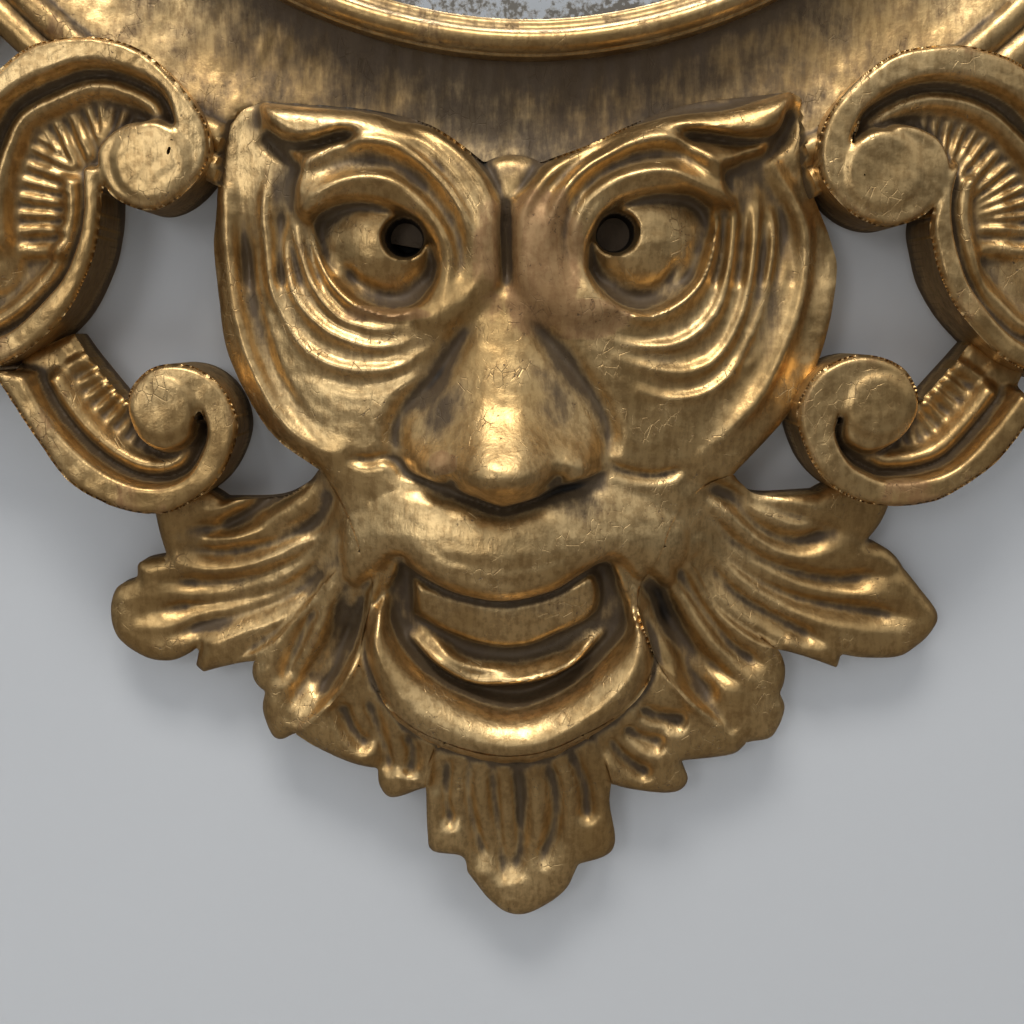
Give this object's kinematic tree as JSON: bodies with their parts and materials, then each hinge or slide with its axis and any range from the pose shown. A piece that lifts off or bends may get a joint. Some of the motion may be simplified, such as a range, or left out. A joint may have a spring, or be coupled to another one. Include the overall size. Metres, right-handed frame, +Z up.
{
  "type": "girandole mirror",
  "caption": "Round carved giltwood wall mirror with a grotesque mask and C-scrolls below, and swivelling candle arms at the sides.",
  "frame": {"origin": "centre of the round looking glass, on the flat back that lies against the wall", "axes": "+Z up, +X to the right seen from the front, the carved front faces -Y and the wall side faces +Y"},
  "size_m": [0.59, 0.1798, 0.854],
  "materials": {
    "gilt_limewood": "worn water gilding over red-brown bole on carved limewood, dark grime in the hollows",
    "rim_gilding": "burnished water gilding, worn to the bole on the inner edge",
    "looking_glass": "old tin-silvered glass, slightly foxed at the edge",
    "backboard_pine": "bare aged pine",
    "bare_limewood": "bare limewood, hidden",
    "gilt_brass": "lacquered gilt brass, dulled",
    "wrought_iron": "dark forged iron"
  },
  "bodies": {
    "frame": {"arm_bracket_left": "gilt_brass", "arm_bracket_right": "gilt_brass", "arm_hinge_pins": "gilt_brass", "backboard_left": "backboard_pine", "backboard_middle": "backboard_pine", "backboard_right": "backboard_pine", "backboard_sprigs": "wrought_iron", "beard_leaf_left": "gilt_limewood", "beard_leaf_right": "gilt_limewood", "bracket_nails": "wrought_iron", "chin_leaf": "gilt_limewood", "chin_side_leaf_left": "gilt_limewood", "chin_side_leaf_right": "gilt_limewood", "crest_leaf_left": "gilt_limewood", "crest_leaf_right": "gilt_limewood", "crest_shell": "gilt_limewood", "flank_leaf_left": "gilt_limewood", "flank_leaf_right": "gilt_limewood", "hanger_nails": "wrought_iron", "hanger_plate": "wrought_iron", "jaw_leaf_left": "gilt_limewood", "jaw_leaf_right": "gilt_limewood", "joint_splines": "bare_limewood", "lower_scroll_left": "gilt_limewood", "lower_scroll_right": "gilt_limewood", "mask_dowels": "bare_limewood", "mask_face": "gilt_limewood", "mirror_glass": "looking_glass", "rim_moulding": "rim_gilding", "ring_lower_left": "gilt_limewood", "ring_lower_right": "gilt_limewood", "ring_upper_left": "gilt_limewood", "ring_upper_right": "gilt_limewood", "upper_scroll_left": "gilt_limewood", "upper_scroll_right": "gilt_limewood"},
    "arm_left": {"candle_arm_left": "gilt_brass", "drip_pan_left": "gilt_brass", "candle_cup_left": "gilt_brass"},
    "arm_right": {"candle_arm_right": "gilt_brass", "drip_pan_right": "gilt_brass", "candle_cup_right": "gilt_brass"},
    "hanging_ring": {"hanging_ring": "wrought_iron"}
  },
  "joints": [
    {"name": "arm_left_swivel", "type": "hinge", "parent": "frame", "child": "arm_left", "pos_m": [-0.214, -0.041, -0.108], "axis": [0, 0, 1], "range_deg": [-50, 80]},
    {"name": "arm_right_swivel", "type": "hinge", "parent": "frame", "child": "arm_right", "pos_m": [0.214, -0.041, -0.108], "axis": [0, 0, 1], "range_deg": [-80, 50]},
    {"name": "hanging_ring_swing", "type": "hinge", "parent": "frame", "child": "hanging_ring", "pos_m": [0, -0.0042, 0.24], "axis": [1, 0, 0], "range_deg": [0, 180]}
  ]
}
